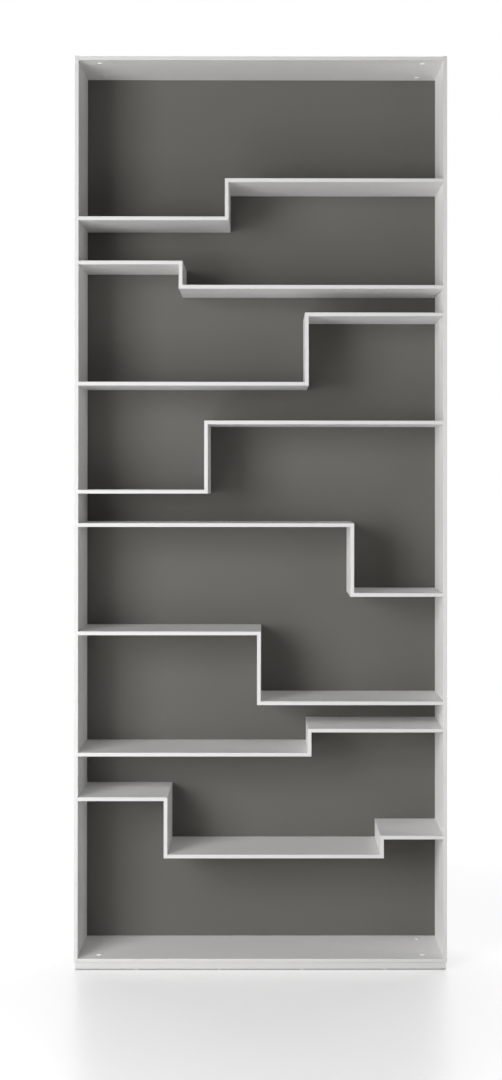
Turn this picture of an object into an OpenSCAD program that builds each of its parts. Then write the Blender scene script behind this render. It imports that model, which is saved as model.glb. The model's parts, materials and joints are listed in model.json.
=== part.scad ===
// Tall bookcase with eight stepped shelves of thin mitred boards, between two sides and in front of a dark back panel.
// Millimetres. The origin is on the floor, at the middle of the width and depth. The front faces -Y.

/* [Carcass] */
// Overall width across the two sides
body_w = 900; // [800:1:1200]
// Overall depth, from the front edges to the rear face of the back panel
body_d = 260; // [230:1:400]
// Overall height, from the floor to the upper ends of the sides
body_h = 2208; // [2000:1:2600]
// Thickness of the sides, the top, the base and every shelf board
board_t = 9; // [8:0.5:12]
// Thickness of the back panel
back_t = 8; // [6:0.5:12]
// Distance from the top board's upper face to the upper ends of the sides
top_recess = 1.5; // [0.5:0.5:6]

/* [Joints between boards] */
// Depth of the housings that hold the board ends in the sides
housing_depth = 3; // [2:0.5:4]
// Distance from the front edges at which the housings stop
housing_stop = 8; // [4:1:20]
// Width of the rebates that hold the back panel in the sides
rebate_w = 5; // [3:0.5:6]
// Clearance round a housed end, a tongue, a cap or the back panel
joint_gap = 0.1; // [0.05:0.05:0.2]
// Width of the loose tongue across each mitre
tongue_w = 7; // [5:0.5:7.5]
// Thickness of the loose tongue
tongue_t = 2; // [1.5:0.1:2.5]
// Distance from the front and from the back panel at which the tongues stop
tongue_stop = 12; // [6:1:30]

/* [Plinth] */
// Height of the plinth rails
plinth_h = 16; // [15:1:60]
// Thickness of the plinth rails
plinth_t = 12; // [10:1:18]
// Distance from the sides' outer faces to the plinth
plinth_side_inset = 2.5; // [1:0.5:4]
// Distance from the front edges to the plinth
plinth_front_inset = 2.5; // [0.5:0.5:4]
// Distance from the rear face of the back panel to the plinth
plinth_back_inset = 14; // [10:1:15]

/* [Feet and caps] */
// Distance from the sides' outer faces to the centres of the feet and caps
foot_side_margin = 57; // [45:1:120]
// Distance from the front edges, and from the rear face, to the centres of the feet and caps
foot_end_margin = 44; // [44:1:70]
// Distance that the pads stand out under the plinth when the feet are wound in
foot_drop = 2; // [1:0.5:4]
// Diameter of a foot pad
pad_d = 30; // [20:1:32]
// Height of a foot pad
pad_h = 5; // [4:0.5:6]
// Diameter of the stud, measured over its thread
stud_d = 8; // [6:1:8]
// Distance that a foot can be wound out
foot_travel = 7; // [4:0.5:8]
// Length of thread that the sleeve still holds when the foot is wound out
thread_hold = 10; // [8:0.5:10.5]
// Width across the flats of the hexagon socket in the top of the stud
hex_key = 4; // [3:0.5:4]
// Diameter of the holes that the caps close
cap_hole_d = 11; // [10.5:0.5:14]
// Diameter of a cap's head
cap_head_d = 12.5; // [12.5:0.5:18]
// Height of a cap's head above the board
cap_head_h = 1.8; // [0.6:0.1:3]
// Length of a cap's spigot in its hole
cap_spigot_h = 2.5; // [1.5:0.5:3]
// Wall of a cap's spigot
cap_wall = 1.1; // [0.8:0.1:1.2]
// Depth of the blind holes in the top board
top_hole_depth = 6; // [4:0.5:7]

/* [Fastenings] */
// Diameter of the screws in the back panel
back_screw_d = 3; // [2.5:0.1:3.5]
// Length of the screws in the back panel
back_screw_l = 20; // [16:1:30]
// Distance from the end of a shelf board to its screws
back_screw_inset = 40; // [20:1:60]
// Number of screws in the rear edge of the top board, and in that of the base board
back_screw_count = 4; // [2:1:8]
// Diameter of the screws in the plinth
plinth_screw_d = 4; // [3:0.5:4.5]
// Distance between the screws along the front and back rails
plinth_screw_pitch = 200; // [120:1:220]
// Distance between the two screws of a side rail
side_screw_pitch = 90; // [60:1:100]
// Depth to which the plinth screws enter the base board
plinth_screw_bite = 6; // [4:0.5:7]
// Distance from the sides' outer faces to the middle of each wall bracket
bracket_margin = 150; // [60:1:300]
// Width of a wall bracket
bracket_w = 40; // [30:1:60]
// Length of the bracket's leg on the top board
bracket_leg = 36; // [30:1:60]
// Height of the bracket's leg at the wall
bracket_rise = 24; // [20:1:40]
// Thickness of the bracket
bracket_t = 2; // [1.5:0.5:3]
// Diameter of the hole for the wall screw
wall_hole_d = 5.5; // [4:0.5:8]
// Distance from the bracket's upper end to the centre of that hole
wall_hole_margin = 9; // [7:0.5:12]
// Distance between the two screws of a bracket
bracket_screw_pitch = 24; // [18:1:26]
// Distance from the front end of the lying leg to those screws
bracket_screw_margin = 10; // [8:0.5:16]
// Diameter of the screws that hold a bracket
bracket_screw_d = 3.5; // [3:0.5:4]

/* [Shelf heights, upper faces above the floor] */
// Shelf 1, left board
shelf_1_left = 1819; // [1790:0.5:1850]
// Shelf 1, right board
shelf_1_right = 1911.5; // [1880:0.5:1940]
// Shelf 2, left board
shelf_2_left = 1712; // [1690:0.5:1740]
// Shelf 2, right board
shelf_2_right = 1653.5; // [1640:0.5:1680]
// Shelf 3, left board
shelf_3_left = 1419; // [1390:0.5:1450]
// Shelf 3, right board
shelf_3_right = 1587; // [1560:0.5:1600]
// Shelf 4, left board
shelf_4_left = 1158; // [1140:0.5:1190]
// Shelf 4, right board
shelf_4_right = 1325.5; // [1300:0.5:1350]
// Shelf 5, left board
shelf_5_left = 1077.5; // [1050:0.5:1095]
// Shelf 5, right board
shelf_5_right = 909; // [880:0.5:940]
// Shelf 6, left board
shelf_6_left = 816; // [790:0.5:840]
// Shelf 6, right board
shelf_6_right = 647.5; // [635:0.5:670]
// Shelf 7, left board
shelf_7_left = 523.5; // [500:0.5:550]
// Shelf 7, right board
shelf_7_right = 581.5; // [560:0.5:595]
// Shelf 8, left board
shelf_8_left = 416; // [390:0.5:440]
// Shelf 8, middle board
shelf_8_middle = 278; // [250:0.5:290]
// Shelf 8, right board
shelf_8_right = 323.5; // [312:0.5:350]

/* [Riser positions, to the right of the middle] */
// Riser of shelf 1
riser_1 = -83; // [-110:0.5:-50]
// Riser of shelf 2
riser_2 = -194.5; // [-220:0.5:-170]
// Riser of shelf 3
riser_3 = 111; // [80:0.5:140]
// Riser of shelf 4
riser_4 = -132.5; // [-160:0.5:-100]
// Riser of shelf 5
riser_5 = 221; // [190:0.5:250]
// Riser of shelf 6
riser_6 = -4.5; // [-35:0.5:25]
// Riser of shelf 7
riser_7 = 118; // [90:0.5:150]
// Left riser of shelf 8
riser_8_left = -229.5; // [-255:0.5:-200]
// Right riser of shelf 8
riser_8_right = 293; // [265:0.5:300]

/* [Hidden] */
// Each shelf: its boards' upper faces from left to right, and the centres of the risers between them.
SHELVES = [
    [[shelf_1_left, shelf_1_right], [riser_1]],
    [[shelf_2_left, shelf_2_right], [riser_2]],
    [[shelf_3_left, shelf_3_right], [riser_3]],
    [[shelf_4_left, shelf_4_right], [riser_4]],
    [[shelf_5_left, shelf_5_right], [riser_5]],
    [[shelf_6_left, shelf_6_right], [riser_6]],
    [[shelf_7_left, shelf_7_right], [riser_7]],
    [[shelf_8_left, shelf_8_middle, shelf_8_right], [riser_8_left, riser_8_right]],
];
ONE_STEP_NAMES = ["left", "riser", "right"];
TWO_STEP_NAMES = ["left", "left_riser", "middle", "right_riser", "right"];
CORNERS = [
    ["front_left", -1, -1],
    ["front_right", 1, -1],
    ["back_left", -1, 1],
    ["back_right", 1, 1],
];

function board_names(shelf) = len(shelf[1]) == 1 ? ONE_STEP_NAMES : TWO_STEP_NAMES;
function shelf_node(s, b) = str("shelf_", s + 1, "_", board_names(SHELVES[s])[b]);
function corner_nodes(stem) = [for (c = CORNERS) str(stem, "_", c[0])];

$fn = 48;

LACQUER = [0.90, 0.90, 0.89];
BACK_GREY = [0.40, 0.39, 0.38];
CAP_WHITE = [0.93, 0.93, 0.91];
PLYWOOD = [0.78, 0.64, 0.46];
ZINC = [0.70, 0.71, 0.73];
PAD_BLACK = [0.09, 0.09, 0.09];

inner_w = body_w - 2 * board_t;
front_y = -body_d / 2;
rear_y = body_d / 2;
back_face_y = rear_y - back_t;
plinth_z = foot_drop;
base_z = plinth_z + plinth_h;
base_top_z = base_z + board_t;
top_upper_z = body_h - top_recess;
top_lower_z = top_upper_z - board_t;
housed_x = inner_w / 2 + housing_depth - joint_gap;
foot_x = body_w / 2 - foot_side_margin;
foot_y = body_d / 2 - foot_end_margin;
bracket_x = body_w / 2 - bracket_margin;
// Cuts run past the faces that they open by this much.
cut = 1;

// Centre line of a shelf in the XZ plane, from the left housed end to the right one.
function shelf_line(shelf) = let (tops = shelf[0], risers = shelf[1], last = len(tops) - 1) [
    for (i = [0 : last]) each [
        [i == 0 ? -housed_x : risers[i - 1], tops[i] - board_t / 2],
        [i == last ? housed_x : risers[i], tops[i] - board_t / 2],
    ],
];
function unit(v) = v / norm(v);
function left_normal(a, b) = let (d = unit(b - a)) [-d[1], d[0]];
// From a point of the centre line to the upper corner of the joint there. The lower corner is opposite.
function mitre_arm(line, i) = board_t / 2 * (
    (i > 0 ? left_normal(line[i - 1], line[i]) : [0, 0]) +
    (i < len(line) - 1 ? left_normal(line[i], line[i + 1]) : [0, 0])
);

// Extrudes a section of the XZ plane from y0 back to y1.
module along_depth(y0, y1) {
    translate([0, y1, 0]) rotate([90, 0, 0]) linear_extrude(height = y1 - y0) children();
}

// Section of the tongue in joint i of a shelf, grown by a clearance.
module tongue_section(line, i, gap) {
    arm = mitre_arm(line, i);
    translate(line[i]) rotate(atan2(arm[1], arm[0]))
        square([tongue_t + 2 * gap, tongue_w + 2 * gap], center = true);
}

// Space over the stopped front of both housed ends, for a board between z and z + board_t.
module front_notches(z) {
    for (side = [-1, 1])
        translate([side * (inner_w + body_w) / 2, front_y, z + board_t / 2])
            cube([body_w, 2 * (housing_stop + joint_gap), board_t + 2 * cut], center = true);
}

// Centres of the two back screws of the board from x0 to x1.
function screw_xs(x0, x1) = [x0 + back_screw_inset, x1 - back_screw_inset];
// Centres of the back screws of the top and of the base.
function long_screw_xs() = [
    for (i = [0 : back_screw_count - 1])
        -inner_w / 2 + back_screw_inset + i * (inner_w - 2 * back_screw_inset) / (back_screw_count - 1),
];
// Every back screw as [x, z].
function back_screws() = concat(
    [for (x = long_screw_xs()) [x, top_lower_z + board_t / 2]],
    [for (x = long_screw_xs()) [x, base_z + board_t / 2]],
    [
        for (shelf = SHELVES) let (line = shelf_line(shelf))
            for (i = [0 : 2 : len(line) - 2])
                for (x = screw_xs(line[i][0], line[i + 1][0])) [x, line[i][1]],
    ]
);

// Screw that points along +Z from its countersunk head's face at the origin.
module countersunk_screw(d, length) {
    head_h = d / 2;
    tip_h = d;
    cylinder(h = head_h, d1 = 2 * d, d2 = d);
    cylinder(h = length - tip_h, d = d);
    translate([0, 0, length - tip_h]) cylinder(h = tip_h, d1 = d, d2 = d / 4);
}

// The room that countersunk_screw takes, grown by the clearance.
module countersunk_hole(d, length) {
    head_h = d / 2;
    translate([0, 0, -cut]) cylinder(h = cut, d = 2 * (d + joint_gap));
    cylinder(h = head_h, d1 = 2 * (d + joint_gap), d2 = d + 2 * joint_gap);
    cylinder(h = length + joint_gap, d = d + 2 * joint_gap);
}

// Puts a child that points along +Z into the back panel at [x, z], pointing forwards.
module at_back(p) {
    translate([p[0], rear_y, p[1]]) rotate([90, 0, 0]) children();
}

module back_screw_holes() {
    for (p = back_screws()) at_back(p) countersunk_hole(back_screw_d, back_screw_l);
}

// One side board, as the left one. Its inner face has a housing for each board end.
module side_board() {
    inner_x = -inner_w / 2;
    difference() {
        translate([-body_w / 2, front_y, base_z]) cube([board_t, body_d, body_h - base_z]);
        translate([inner_x - rebate_w, back_face_y, base_z - cut])
            cube([rebate_w + cut, back_t + cut, body_h - base_z + 2 * cut]);
        translate([inner_x - housing_depth, front_y + housing_stop, base_z - cut])
            cube([housing_depth + cut, body_d, board_t + cut + joint_gap]);
        translate([inner_x - housing_depth, front_y + housing_stop, top_lower_z])
            cube([housing_depth + cut, body_d, body_h - top_lower_z + cut]);
        children();
    }
}

// Housing of one shelf end, cut from the left side.
module shelf_housing(top_z) {
    translate([-inner_w / 2 - housing_depth, front_y + housing_stop, top_z - board_t])
        cube([housing_depth + cut, body_d - housing_stop - cut, board_t + joint_gap]);
}

module side_left() {
    color(LACQUER) side_board() {
        for (shelf = SHELVES) shelf_housing(shelf[0][0]);
    }
}

module side_right() {
    color(LACQUER) mirror([1, 0, 0]) side_board() {
        for (shelf = SHELVES) shelf_housing(shelf[0][len(shelf[0]) - 1]);
    }
}

// Plain board across the case, with housed ends.
module cross_board(z) {
    difference() {
        translate([-housed_x, front_y, z]) cube([2 * housed_x, back_face_y - front_y, board_t]);
        front_notches(z);
        back_screw_holes();
    }
}

module at_feet() {
    for (c = CORNERS) translate([c[1] * foot_x, c[2] * foot_y, 0]) children();
}

module top_board() {
    color(LACQUER) difference() {
        cross_board(top_lower_z);
        at_feet() translate([0, 0, top_lower_z - cut]) cylinder(h = top_hole_depth + cut, d = cap_hole_d);
        bracket_screw_holes();
    }
}

module base_board() {
    color(LACQUER) difference() {
        cross_board(base_z);
        at_feet() translate([0, 0, base_z - cut]) cylinder(h = board_t + 2 * cut, d = cap_hole_d);
        plinth_screw_holes();
    }
}

module back_panel() {
    half_w = inner_w / 2 + rebate_w - joint_gap;
    color(BACK_GREY) difference() {
        translate([-half_w, back_face_y, base_z]) cube([2 * half_w, back_t, top_upper_z - base_z]);
        back_screw_holes();
    }
}

// Half sizes of the plinth's outline, and the middle of its depth.
plinth_half_w = body_w / 2 - plinth_side_inset;
plinth_half_d = (body_d - plinth_front_inset - plinth_back_inset) / 2;
plinth_mid_y = (plinth_front_inset - plinth_back_inset) / 2;

// Rail of the plinth along X, as the front one, of the given half length, with mitred ends.
module plinth_rail(half_l, half_across) {
    translate([0, 0, plinth_z]) linear_extrude(height = plinth_h)
        polygon([
            [-half_l, -half_across],
            [half_l, -half_across],
            [half_l - plinth_t, plinth_t - half_across],
            [plinth_t - half_l, plinth_t - half_across],
        ]);
}

module plinth_front() {
    color(LACQUER) difference() {
        translate([0, plinth_mid_y, 0]) plinth_rail(plinth_half_w, plinth_half_d);
        plinth_screw_holes();
    }
}

module plinth_back() {
    color(LACQUER) difference() {
        translate([0, plinth_mid_y, 0]) rotate([0, 0, 180]) plinth_rail(plinth_half_w, plinth_half_d);
        plinth_screw_holes();
    }
}

module plinth_left() {
    color(LACQUER) difference() {
        translate([0, plinth_mid_y, 0]) rotate([0, 0, -90]) plinth_rail(plinth_half_d, plinth_half_w);
        plinth_screw_holes();
    }
}

module plinth_right() {
    color(LACQUER) difference() {
        translate([0, plinth_mid_y, 0]) rotate([0, 0, 90]) plinth_rail(plinth_half_d, plinth_half_w);
        plinth_screw_holes();
    }
}

// The plinth screws' heads seat this far above the rails' lower faces.
plinth_screw_sink = 3;
plinth_screw_l = plinth_h - plinth_screw_sink + plinth_screw_bite;
plinth_rail_y = plinth_half_d - plinth_t / 2;
plinth_rail_x = plinth_half_w - plinth_t / 2;
function plinth_screw_places() = concat(
    [for (i = [-1.5 : 1 : 1.5]) for (e = [-1, 1]) [i * plinth_screw_pitch, plinth_mid_y + e * plinth_rail_y]],
    [for (i = [-0.5, 0.5]) for (e = [-1, 1]) [e * plinth_rail_x, i * side_screw_pitch]]
);

module at_plinth_screws() {
    for (p = plinth_screw_places())
        translate([p[0], p[1], plinth_z + plinth_screw_sink]) children();
}

module plinth_screw_holes() {
    at_plinth_screws() {
        translate([0, 0, -plinth_screw_sink - cut])
            cylinder(h = plinth_screw_sink + cut, d = 2 * (plinth_screw_d + joint_gap));
        countersunk_hole(plinth_screw_d, plinth_screw_l);
    }
}

module plinth_screws() {
    color(ZINC) at_plinth_screws() countersunk_screw(plinth_screw_d, plinth_screw_l);
}

module back_panel_screws() {
    color(ZINC) for (p = back_screws()) at_back(p) countersunk_screw(back_screw_d, back_screw_l);
}

// Board b of a shelf: even ones lie, odd ones stand.
module shelf_board(s, b) {
    line = shelf_line(SHELVES[s]);
    arm = [for (i = [b, b + 1]) mitre_arm(line, i)];
    color(LACQUER) difference() {
        along_depth(front_y, back_face_y)
            polygon([line[b] + arm[0], line[b + 1] + arm[1], line[b + 1] - arm[1], line[b] - arm[0]]);
        for (i = [b, b + 1])
            if (i > 0 && i < len(line) - 1)
                along_depth(front_y + tongue_stop - joint_gap, back_face_y - tongue_stop + joint_gap)
                    tongue_section(line, i, joint_gap);
        if (b % 2 == 0) {
            front_notches(line[b][1] - board_t / 2);
            for (x = screw_xs(line[b][0], line[b + 1][0]))
                at_back([x, line[b][1]]) countersunk_hole(back_screw_d, back_screw_l);
        }
    }
}

module mitre_tongues() {
    color(PLYWOOD) for (shelf = SHELVES) {
        line = shelf_line(shelf);
        for (i = [1 : len(line) - 2])
            along_depth(front_y + tongue_stop, back_face_y - tongue_stop) tongue_section(line, i, 0);
    }
}

// Cap with its head's seat at the origin and its head above it.
module cap() {
    spigot_r = cap_hole_d / 2 - joint_gap;
    ease = cap_head_h / 3;
    rotate_extrude() polygon([
        [0, 0],
        [spigot_r - cap_wall, 0],
        [spigot_r - cap_wall, -cap_spigot_h],
        [spigot_r, -cap_spigot_h],
        [spigot_r, 0],
        [cap_head_d / 2, 0],
        [cap_head_d / 2, cap_head_h - ease],
        [cap_head_d / 2 - ease, cap_head_h],
        [0, cap_head_h],
    ]);
}

module top_caps() {
    color(CAP_WHITE) at_feet() translate([0, 0, top_lower_z]) mirror([0, 0, 1]) cap();
}

module base_cap(c) {
    color(CAP_WHITE) translate([c[1] * foot_x, c[2] * foot_y, base_top_z]) cap();
}

// The stud's spigot turns in a socket of the pad, below a shoulder of this width.
stud_shoulder = 1;
stud_spigot_d = stud_d - 2 * stud_shoulder;
stud_spigot_h = pad_h / 2;
// Radial running clearance of the spigot in the pad and of the stud in its sleeve.
running_gap = 0.05;
// Space between the stud's upper end and a cap above it.
stud_cap_gap = 0.5;
stud_top_z = base_top_z - cap_spigot_h - stud_cap_gap;

module foot_pad(c) {
    edge = pad_h / 4;
    socket_r = stud_spigot_d / 2 + running_gap;
    socket_z = pad_h - stud_spigot_h - 2 * running_gap;
    color(PAD_BLACK) translate([c[1] * foot_x, c[2] * foot_y, 0]) rotate_extrude() polygon([
        [0, 0],
        [pad_d / 2, 0],
        [pad_d / 2, pad_h - 2 * edge],
        [pad_d / 2 - 2 * edge, pad_h],
        [socket_r, pad_h],
        [socket_r, socket_z],
        [0, socket_z],
    ]);
}

module foot_stud(c) {
    chamfer = stud_d / 10;
    socket_depth = stud_d / 2;
    color(ZINC) translate([c[1] * foot_x, c[2] * foot_y, 0]) difference() {
        rotate_extrude() polygon([
            [0, pad_h - stud_spigot_h],
            [stud_spigot_d / 2, pad_h - stud_spigot_h],
            [stud_spigot_d / 2, pad_h],
            [stud_d / 2, pad_h],
            [stud_d / 2, stud_top_z - chamfer],
            [stud_d / 2 - chamfer, stud_top_z],
            [0, stud_top_z],
        ]);
        translate([0, 0, stud_top_z - socket_depth])
            cylinder(h = socket_depth + cut, d = hex_key / cos(30), $fn = 6);
    }
}

// Flanged sleeve that seats against the underside of the base board. Its flange reaches this far past the hole.
sleeve_flange_reach = 6;
sleeve_flange_r = cap_hole_d / 2 + sleeve_flange_reach;
sleeve_flange_h = 1.5;

module foot_sleeves() {
    bore_r = stud_d / 2 + running_gap;
    barrel_r = cap_hole_d / 2 - joint_gap;
    lower_z = stud_top_z - foot_travel - thread_hold;
    color(ZINC) at_feet() rotate_extrude() polygon([
        [bore_r, lower_z],
        [barrel_r, lower_z],
        [barrel_r, base_z - sleeve_flange_h],
        [sleeve_flange_r, base_z - sleeve_flange_h],
        [sleeve_flange_r, base_z],
        [barrel_r, base_z],
        [barrel_r, stud_top_z],
        [bore_r, stud_top_z],
    ]);
}

// Section of a wall bracket in the YZ plane, with its heel at the origin, its lying leg towards -X and its other leg up.
module bracket_section() {
    bend_r = 2 * bracket_t;
    translate([-bracket_leg, 0]) square([bracket_leg - bend_r, bracket_t]);
    translate([-bracket_t, bend_r]) square([bracket_t, bracket_rise - bend_r]);
    translate([-bend_r, bend_r]) intersection() {
        difference() {
            circle(r = bend_r);
            circle(r = bend_r - bracket_t);
        }
        translate([0, -bend_r]) square(bend_r);
    }
}

bracket_screw_y = rear_y - bracket_leg + bracket_screw_margin;
wall_hole_z = top_upper_z + bracket_rise - wall_hole_margin;
module at_bracket_screws(x) {
    for (i = [-0.5, 0.5])
        translate([x + i * bracket_screw_pitch, bracket_screw_y, top_upper_z + bracket_t]) children();
}

module wall_bracket(x) {
    color(ZINC) difference() {
        translate([x - bracket_w / 2, rear_y, top_upper_z])
            rotate([90, 0, 90]) linear_extrude(height = bracket_w) bracket_section();
        translate([x, rear_y, wall_hole_z]) rotate([90, 0, 0])
            cylinder(h = 4 * bracket_t, d = wall_hole_d, center = true);
        at_bracket_screws(x) cylinder(h = 4 * bracket_t, d = bracket_screw_d + 2 * joint_gap, center = true);
    }
}

// The bracket screws stop this far above the top board's underside.
bracket_screw_stop = 2;
bracket_screw_l = bracket_t + board_t - bracket_screw_stop;

module bracket_screw_holes() {
    for (side = [-1, 1]) at_bracket_screws(side * bracket_x)
        translate([0, 0, -bracket_screw_l - joint_gap])
            cylinder(h = bracket_screw_l + cut, d = bracket_screw_d + 2 * joint_gap);
}

module bracket_screws() {
    color(ZINC) for (side = [-1, 1]) at_bracket_screws(side * bracket_x) {
        translate([0, 0, -bracket_screw_l]) cylinder(h = bracket_screw_l, d = bracket_screw_d);
        difference() {
            cylinder(h = bracket_screw_d / 2, d1 = 2 * bracket_screw_d, d2 = 1.5 * bracket_screw_d);
            translate([0, 0, bracket_screw_d / 4])
                cylinder(h = bracket_screw_d, d = 0.8 * bracket_screw_d, $fn = 6);
        }
    }
}

side_left();
side_right();
top_board();
base_board();
back_panel();
plinth_front();
plinth_back();
plinth_left();
plinth_right();
for (s = [0 : len(SHELVES) - 1]) for (b = [0 : len(board_names(SHELVES[s])) - 1])
    shelf_board(s, b);
mitre_tongues();
top_caps();
for (c = CORNERS) base_cap(c);
for (c = CORNERS) foot_pad(c);
for (c = CORNERS) foot_stud(c);
foot_sleeves();
back_panel_screws();
plinth_screws();
wall_bracket(-bracket_x);  // wall_bracket_left
wall_bracket(bracket_x);  // wall_bracket_right
bracket_screws();
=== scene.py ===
"""Looks of a tall bookcase with stepped shelves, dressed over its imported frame.

Everything is in metres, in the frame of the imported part: the origin is on the floor at the middle of the
bookcase, +Z is up and the open front faces -Y. Each sub-assembly is a class that builds its pieces and dresses
them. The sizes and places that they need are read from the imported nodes.
"""

from __future__ import annotations

import json
import logging
import math
from collections.abc import Callable, Iterable, Sequence
from dataclasses import dataclass
from enum import Enum, IntEnum

import bmesh
import bpy
from mathutils import Euler, Matrix, Vector

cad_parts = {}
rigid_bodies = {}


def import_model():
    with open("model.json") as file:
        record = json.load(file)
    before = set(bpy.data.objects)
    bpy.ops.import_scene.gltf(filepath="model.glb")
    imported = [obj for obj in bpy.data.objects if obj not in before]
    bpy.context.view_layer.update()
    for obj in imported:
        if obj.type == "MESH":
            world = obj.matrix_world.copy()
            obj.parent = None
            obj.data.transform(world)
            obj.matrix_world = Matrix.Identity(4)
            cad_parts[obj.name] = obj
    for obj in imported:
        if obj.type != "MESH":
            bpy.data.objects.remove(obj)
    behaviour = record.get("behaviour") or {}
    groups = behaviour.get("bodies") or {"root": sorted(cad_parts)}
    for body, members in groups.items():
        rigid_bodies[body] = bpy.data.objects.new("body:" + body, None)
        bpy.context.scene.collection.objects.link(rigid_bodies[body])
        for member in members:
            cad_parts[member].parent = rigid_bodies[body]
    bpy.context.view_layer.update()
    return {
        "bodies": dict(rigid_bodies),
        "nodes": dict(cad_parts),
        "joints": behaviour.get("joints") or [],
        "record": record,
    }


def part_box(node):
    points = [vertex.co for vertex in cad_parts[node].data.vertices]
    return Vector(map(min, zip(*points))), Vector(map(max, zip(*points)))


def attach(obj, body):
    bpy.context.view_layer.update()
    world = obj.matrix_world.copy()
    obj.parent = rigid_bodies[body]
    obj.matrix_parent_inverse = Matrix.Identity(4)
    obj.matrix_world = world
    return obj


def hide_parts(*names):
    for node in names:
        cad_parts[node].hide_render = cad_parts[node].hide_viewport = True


LOG = logging.getLogger("bookcase")
MM = 0.001
MERGE_DISTANCE = 1e-6
TOUCH = 1e-5
STRAIGHT = 0.999
WHITE = (1.0, 1.0, 1.0, 1.0)
QUARTER_TURN = [math.radians(90.0 * i / 4) for i in range(5)]

Pair = tuple[float, float]
Triple = tuple[float, float, float]
Colour = Triple
Profile = Sequence[Pair]
Ease = Callable[[Vector, Vector], float]
Object = bpy.types.Object
Tree = bpy.types.NodeTree
Socket = bpy.types.NodeSocket
Sockets = bpy.types.bpy_prop_collection


class Axis(IntEnum):
    """A direction of the row frame, by the index of its coordinate."""

    X = 0
    Y = 1
    Z = 2


class Corner(Enum):
    """The four feet, named as their nodes are."""

    FRONT_LEFT = "front_left"
    FRONT_RIGHT = "front_right"
    BACK_LEFT = "back_left"
    BACK_RIGHT = "back_right"


class Graph:
    """Short-hand for building a shader or geometry node tree."""

    def __init__(self, tree: Tree) -> None:
        """Wraps the tree that nodes are added to."""
        self.tree = tree

    def add(self, kind: str, inputs: dict[str | int, object] | None = None, **settings: object) -> Sockets:
        """Adds a node.

        Args:
            kind: The node's type name.
            inputs: Values or sockets for its inputs, by name or index.
            settings: Properties of the node.

        Returns:
            The new node's outputs.
        """
        node = self.tree.nodes.new(kind)
        for key, value in settings.items():
            setattr(node, key, value)
        for key, value in (inputs or {}).items():
            if isinstance(value, Socket):
                self.link(value, node.inputs[key])
            else:
                node.inputs[key].default_value = value
        return node.outputs

    def link(self, start: Socket, end: Socket) -> None:
        """Links an output to an input."""
        self.tree.links.new(start, end)

    def place(self) -> Socket:
        """Gives the place on the object."""
        return self.add("ShaderNodeTexCoord")["Object"]

    def noise(self, place: Socket, scale: object, detail: float, roughness: float = 0.5) -> Socket:
        """Gives a noise level from 0 to 1."""
        inputs = {"Vector": place, "Scale": scale, "Detail": detail, "Roughness": roughness}
        return self.add("ShaderNodeTexNoise", inputs)["Fac"]

    def blend(self, factor: object, first: object, second: object) -> Socket:
        """Mixes two colours, each given or from a socket, with factor as the share of the second."""
        return self.add("ShaderNodeMix", {"Factor": factor, 6: first, 7: second}, data_type="RGBA")[2]

    def math(self, operation: str, *values: object) -> Socket:
        """Gives the result of a Math node for numbers or sockets."""
        return self.add("ShaderNodeMath", dict(enumerate(values)), operation=operation)[0]

    def ramp(self, value: Socket, low: float, high: float, to_low: float = 0.0, to_high: float = 1.0) -> Socket:
        """Maps the range from low to high smoothly to the range from to_low to to_high."""
        inputs = {0: value, 1: low, 2: high, 3: to_low, 4: to_high}
        return self.add("ShaderNodeMapRange", inputs, interpolation_type="SMOOTHSTEP")[0]

    def effect(self, maker: Callable[[], Tree], **inputs: object) -> Sockets:
        """Places a shared effect, and builds its group the first time."""
        shared = bpy.data.node_groups.get(maker.__name__) or maker()
        return self.add("ShaderNodeGroup", inputs, node_tree=shared)

    def showing(self) -> Socket:
        """Gives 1 to camera, glossy and transmission rays, which show a background, and 0 to the rest.

        Returns:
            The socket with that value.
        """
        rays = self.add("ShaderNodeLightPath")
        seen = self.math("MAXIMUM", rays["Is Camera Ray"], rays["Is Glossy Ray"])
        return self.math("MAXIMUM", seen, rays["Is Transmission Ray"])

    def close(self, results: dict[str, Socket]) -> Tree:
        """Ends a node group.

        Args:
            results: What each of its outputs gives, by name.

        Returns:
            The finished group.
        """
        for name, socket in results.items():
            self.link(socket, self.tree.nodes["out"].inputs[name])
        return self.tree


def group_tree(name: str, kind: str, inputs: dict[str, str], outputs: dict[str, str]) -> tuple[Graph, Sockets]:
    """Starts a node group.

    Args:
        name: The group's name.
        kind: Shader or Geometry.
        inputs: Each input's kind of socket, by name. Whoever places the group sets them all.
        outputs: Each output's kind of socket, by name.

    Returns:
        The graph of the new group, and what its inputs give.
    """
    tree = bpy.data.node_groups.new(name, f"{kind}NodeTree")
    for way, sockets in (("INPUT", inputs), ("OUTPUT", outputs)):
        for label, socket in sockets.items():
            tree.interface.new_socket(label, in_out=way, socket_type=f"NodeSocket{socket}")
    graph = Graph(tree)
    graph.add("NodeGroupOutput", name="out")
    return graph, graph.add("NodeGroupInput")


def geometry_tree(name: str, inputs: dict[str, str]) -> tuple[Graph, Sockets]:
    """Starts a Geometry Nodes tree whose inputs include a geometry and a finish."""
    inputs = {"Geometry": "Geometry", **inputs, "Finish": "Material"}
    return group_tree(name, "Geometry", inputs, {"Geometry": "Geometry"})


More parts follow.
